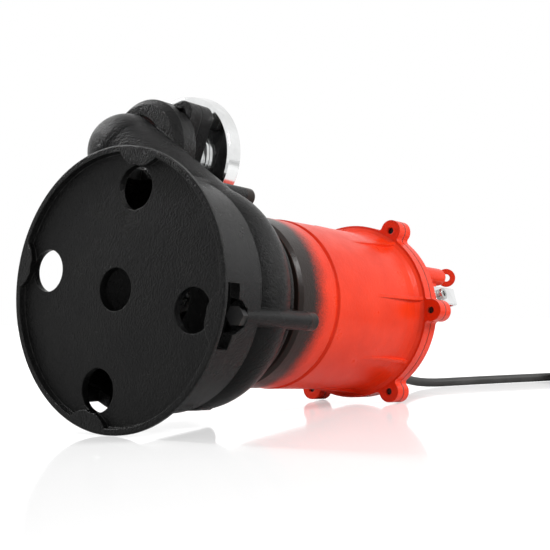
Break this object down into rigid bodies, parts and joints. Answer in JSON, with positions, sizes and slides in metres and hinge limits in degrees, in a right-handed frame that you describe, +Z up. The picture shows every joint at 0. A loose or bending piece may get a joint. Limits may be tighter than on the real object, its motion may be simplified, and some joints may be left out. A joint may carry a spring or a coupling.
{
  "type": "submersible sewage pump",
  "caption": "Submersible sewage pump lying on its side: perforated foot stand, volute with elbow outlet and polished union, ribbed red motor, cable.",
  "frame": {"origin": "centre of the bounding box's bottom, measured without the cord, coil and plug; the pump rests on the plane z = 0", "axes": "+X along the pump from its foot towards the motor's cover, +Z up as it lies, +Y to the left"},
  "size_m": [0.7231, 0.3745, 0.2653],
  "materials": {
    "cast_black": "satin",
    "cast_red": "semi-gloss",
    "zinc_steel": "satin",
    "black_oxide": "satin",
    "raw_iron": "matte",
    "plain_steel": "satin",
    "stainless": "satin",
    "seal_rubber": "matte",
    "seal_ceramic": "gloss",
    "lamination": "matte",
    "copper": "satin",
    "plain_aluminium": "satin",
    "bearing_steel": "gloss",
    "cord_rubber": "matte",
    "dark_plastic": "matte",
    "polished_steel": "mirror",
    "brass_pins": "satin"
  },
  "bodies": {
    "pump": {"base_stand": "cast_black", "bearing_outer_rings": "bearing_steel", "cable_boot": "cord_rubber", "capacitor": "dark_plastic", "capacitor_clip": "zinc_steel", "casing_bolts": "black_oxide", "chamber_o_ring": "seal_rubber", "cord_coil": "cord_rubber", "cord_ties": "dark_plastic", "cover_gasket": "seal_rubber", "cover_screws": "black_oxide", "gland_body": "dark_plastic", "gland_nut": "dark_plastic", "gland_seal": "seal_rubber", "handle_screws": "stainless", "handle_strap": "polished_steel", "lead_wires": "cord_rubber", "lifting_eye": "cast_red", "motor_housing": "cast_red", "oil_chamber": "cast_black", "oil_seal": "seal_rubber", "outlet_adapter": "cast_black", "outlet_bolts": "black_oxide", "outlet_gasket": "seal_rubber", "outlet_nipple": "polished_steel", "plug_body": "dark_plastic", "plug_cord": "cord_rubber", "plug_pins": "brass_pins", "power_cord": "cord_rubber", "seal_seat": "seal_ceramic", "stator_core": "lamination", "stator_windings": "copper", "suction_cover": "cast_black", "suction_screws": "zinc_steel", "terminal_block": "dark_plastic", "top_cover": "cast_red", "upper_bracket": "plain_aluminium", "volute_casing": "cast_black"},
    "rotor": {"impeller": "raw_iron", "impeller_key": "plain_steel", "impeller_washer": "stainless", "impeller_nut": "stainless", "seal_rotating": "seal_rubber", "motor_shaft": "plain_steel", "rotor_core": "lamination", "rotor_end_rings": "plain_aluminium", "bearing_inner_rings": "bearing_steel", "bearing_balls": "bearing_steel"},
    "collar": {"union_collar": "polished_steel"}
  },
  "joints": [
    {"name": "rotor_spin", "type": "hinge", "parent": "pump", "child": "rotor", "pos_m": [0.00526, -0.0116, 0.08777], "axis": [0.9981, 0, -0.0612], "continuous": true},
    {"name": "collar_turn", "type": "hinge", "parent": "pump", "child": "collar", "pos_m": [-0.03515, 0.0588, 0.21308], "axis": [0.9981, 0, -0.0612], "continuous": true}
  ]
}
